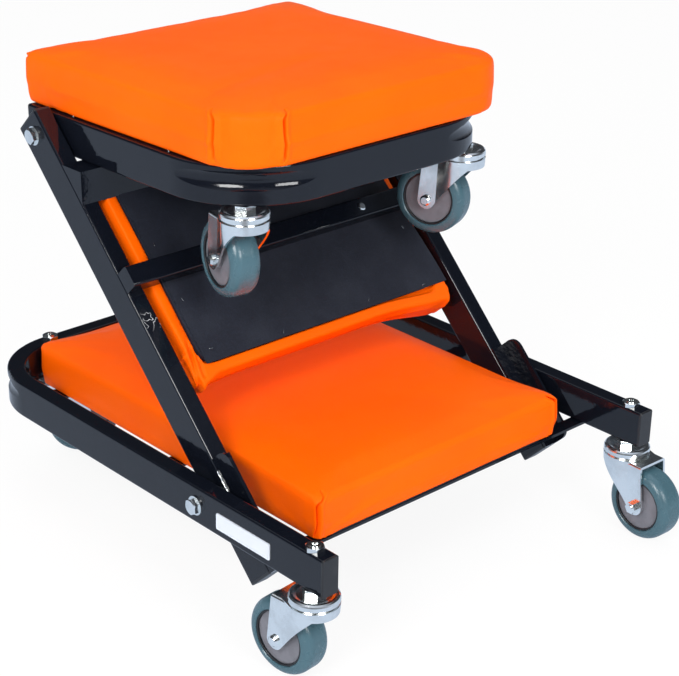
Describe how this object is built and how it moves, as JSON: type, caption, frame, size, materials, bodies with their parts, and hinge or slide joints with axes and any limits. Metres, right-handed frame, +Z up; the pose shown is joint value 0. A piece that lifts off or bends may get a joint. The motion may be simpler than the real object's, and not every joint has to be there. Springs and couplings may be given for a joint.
{
  "type": "rolling mechanic seat",
  "caption": "Folding creeper seat: a padded seat and back on hinged arms over a low padded base frame with swivel casters.",
  "frame": {"origin": "on the floor, on the centre plane, half way between the front and rear base casters' stems", "axes": "+Z up, +Y to the back (the closed end of the base), +X to the seat's right"},
  "size_m": [0.4821, 0.6345, 0.483],
  "materials": {
    "paint": "gloss black powder coat",
    "vinyl": "orange vinyl, satin",
    "board": "black faced board, matt",
    "plug": "black moulded plastic",
    "zinc": "bright zinc plate",
    "tread": "grey rubber, satin",
    "wheel_core": "dark grey moulded core"
  },
  "bodies": {
    "base": {"base_frame": "paint", "base_end_plugs": "plug", "base_straps": "paint", "base_board": "board", "base_board_screws": "zinc", "base_cushion": "vinyl", "base_pivot_bolts": "zinc", "base_pivot_nuts": "zinc", "base_pivot_spacers": "zinc", "base_caster_stems": "zinc", "base_caster_races": "zinc", "base_stem_nuts": "zinc"},
    "arms": {"left_arm": "paint", "right_arm": "paint", "arm_end_plugs": "plug", "seat_rest": "paint", "cushion_bar": "paint", "bar_screws": "zinc", "stop_brackets": "paint", "middle_board": "board", "middle_cushion": "vinyl", "seat_pivot_bolts": "zinc", "seat_pivot_nuts": "zinc", "seat_pivot_washers": "zinc"},
    "seat": {"seat_frame": "paint", "seat_end_plugs": "plug", "seat_board": "board", "seat_board_screws": "zinc", "seat_cushion": "vinyl", "seat_caster_stems": "zinc", "seat_caster_races": "zinc", "seat_stem_bushes": "zinc"},
    "front_left_fork": {"front_left_fork": "zinc", "front_left_axle": "zinc"},
    "front_left_wheel": {"front_left_wheel_core": "wheel_core", "front_left_tread": "tread"},
    "front_right_fork": {"front_right_fork": "zinc", "front_right_axle": "zinc"},
    "front_right_wheel": {"front_right_wheel_core": "wheel_core", "front_right_tread": "tread"},
    "rear_left_fork": {"rear_left_fork": "zinc", "rear_left_axle": "zinc"},
    "rear_left_wheel": {"rear_left_wheel_core": "wheel_core", "rear_left_tread": "tread"},
    "rear_right_fork": {"rear_right_fork": "zinc", "rear_right_axle": "zinc"},
    "rear_right_wheel": {"rear_right_wheel_core": "wheel_core", "rear_right_tread": "tread"},
    "seat_left_fork": {"seat_left_fork": "zinc", "seat_left_axle": "zinc"},
    "seat_left_wheel": {"seat_left_wheel_core": "wheel_core", "seat_left_tread": "tread"},
    "seat_right_fork": {"seat_right_fork": "zinc", "seat_right_axle": "zinc"},
    "seat_right_wheel": {"seat_right_wheel_core": "wheel_core", "seat_right_tread": "tread"}
  },
  "joints": [
    {"name": "arm_fold", "type": "hinge", "parent": "base", "child": "arms", "pos_m": [0, -0.10629, 0.11765], "axis": [1, 0, 0], "range_deg": [0, 134.4]},
    {"name": "seat_fold", "type": "hinge", "parent": "arms", "child": "seat", "pos_m": [0, 0.17287, 0.40133], "axis": [-1, 0, 0], "range_deg": [0, 133.45]},
    {"name": "front_left_swivel", "type": "hinge", "parent": "base", "child": "front_left_fork", "pos_m": [-0.21643, -0.26089, 0.0986], "axis": [0, 0, 1], "continuous": true},
    {"name": "front_left_roll", "type": "hinge", "parent": "front_left_fork", "child": "front_left_wheel", "pos_m": [-0.21924, -0.23052, 0.0381], "axis": [-0.9957, -0.0924, 0], "continuous": true},
    {"name": "front_right_swivel", "type": "hinge", "parent": "base", "child": "front_right_fork", "pos_m": [0.21643, -0.26089, 0.0986], "axis": [0, 0, 1], "continuous": true},
    {"name": "front_right_roll", "type": "hinge", "parent": "front_right_fork", "child": "front_right_wheel", "pos_m": [0.21541, -0.29137, 0.0381], "axis": [0.9995, -0.0332, 0], "continuous": true},
    {"name": "rear_left_swivel", "type": "hinge", "parent": "base", "child": "rear_left_fork", "pos_m": [-0.13803, 0.26089, 0.0986], "axis": [0, 0, 1], "continuous": true},
    {"name": "rear_left_roll", "type": "hinge", "parent": "rear_left_fork", "child": "rear_left_wheel", "pos_m": [-0.11085, 0.24704, 0.0381], "axis": [0.454, 0.891, 0], "continuous": true},
    {"name": "rear_right_swivel", "type": "hinge", "parent": "base", "child": "rear_right_fork", "pos_m": [0.13803, 0.26089, 0.0986], "axis": [0, 0, 1], "continuous": true},
    {"name": "rear_right_roll", "type": "hinge", "parent": "rear_right_fork", "child": "rear_right_wheel", "pos_m": [0.16444, 0.27614, 0.0381], "axis": [-0.5, 0.866, 0], "continuous": true},
    {"name": "seat_left_swivel", "type": "hinge", "parent": "seat", "child": "seat_left_fork", "pos_m": [-0.14249, -0.07856, 0.38666], "axis": [0, 0.0175, 0.9998], "continuous": true},
    {"name": "seat_left_roll", "type": "hinge", "parent": "seat_left_fork", "child": "seat_left_wheel", "pos_m": [-0.13614, -0.04979, 0.32565], "axis": [-0.9781, 0.2079, -0.0036], "continuous": true},
    {"name": "seat_right_swivel", "type": "hinge", "parent": "seat", "child": "seat_right_fork", "pos_m": [0.14249, -0.07856, 0.38666], "axis": [0, 0.0175, 0.9998], "continuous": true},
    {"name": "seat_right_roll", "type": "hinge", "parent": "seat_right_fork", "child": "seat_right_wheel", "pos_m": [0.13206, -0.05096, 0.32567], "axis": [-0.9397, -0.342, 0.006], "continuous": true}
  ],
  "couplings": [
    {"joint": "seat_fold", "follows": "arm_fold", "ratio": 0.99256}
  ]
}
